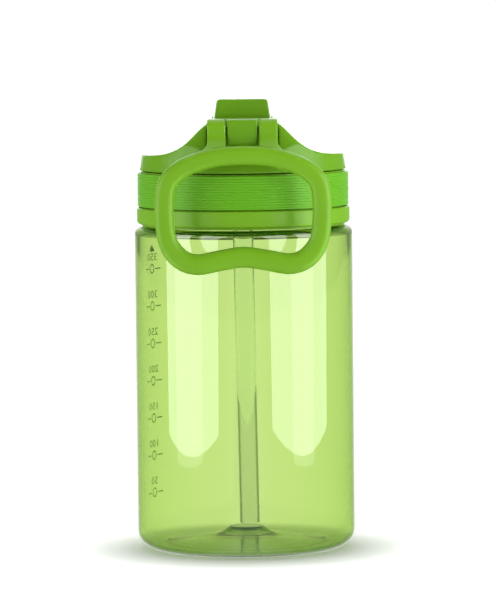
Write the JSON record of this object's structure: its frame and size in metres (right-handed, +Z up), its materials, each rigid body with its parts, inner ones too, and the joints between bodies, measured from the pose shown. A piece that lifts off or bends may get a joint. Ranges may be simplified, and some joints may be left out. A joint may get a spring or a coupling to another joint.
{
  "type": "kids water bottle",
  "caption": "Clear straw bottle for children with a screw lid, a ribbed grip ring, a swinging loop handle at the back and a flip-up drinking spout.",
  "frame": {"origin": "on the standing surface, at the centre of the whole object's bounding box in plan, 2.8 mm behind the bottle's own axis because the handle stands out at the back", "axes": "+Z up along the bottle, -Y towards the back, where the handle hangs, +Y towards the drinker, +X to the right when the back is seen"},
  "size_m": [0.074, 0.0796, 0.1528],
  "materials": {
    "clear_green": "clear tinted copolyester, glossy",
    "lid_green": "moulded polypropylene, satin gloss",
    "ring_green": "ribbed moulded plastic, satin",
    "silicone_white": "milky silicone, matt",
    "silicone_green": "soft green silicone, satin"
  },
  "bodies": {
    "bottle": {"bottle_body": "clear_green"},
    "seal": {"lid_seal": "silicone_white"},
    "lid": {"lid_cap": "lid_green", "grip_ring": "ring_green", "lid_dome": "lid_green", "handle_pin": "lid_green", "spout_pin_left": "lid_green", "spout_pin_right": "lid_green", "spout_seal": "silicone_white", "straw_socket": "silicone_white", "straw": "clear_green", "vent_valve": "silicone_white"},
    "handle": {"handle": "lid_green"},
    "spout": {"spout": "lid_green", "mouthpiece": "silicone_green"}
  },
  "joints": [
    {"name": "lid_lift", "type": "slide", "parent": "bottle", "child": "seal", "axis": [0, 0, 1], "range_m": [0, 0.0061]},
    {"name": "lid_turn", "type": "hinge", "parent": "seal", "child": "lid", "pos_m": [0, 0.0028, 0.119], "axis": [0, 0, 1], "range_deg": [0, 540]},
    {"name": "handle_swing", "type": "hinge", "parent": "lid", "child": "handle", "pos_m": [0, -0.0297, 0.1432], "axis": [-1, 0, 0], "range_deg": [0, 180]},
    {"name": "spout_flip", "type": "hinge", "parent": "lid", "child": "spout", "pos_m": [0, -0.0052, 0.143], "axis": [1, 0, 0], "range_deg": [0, 90]}
  ],
  "couplings": [
    {"joint": "lid_lift", "follows": "lid_turn", "m_per_rad": 0.00063662}
  ]
}
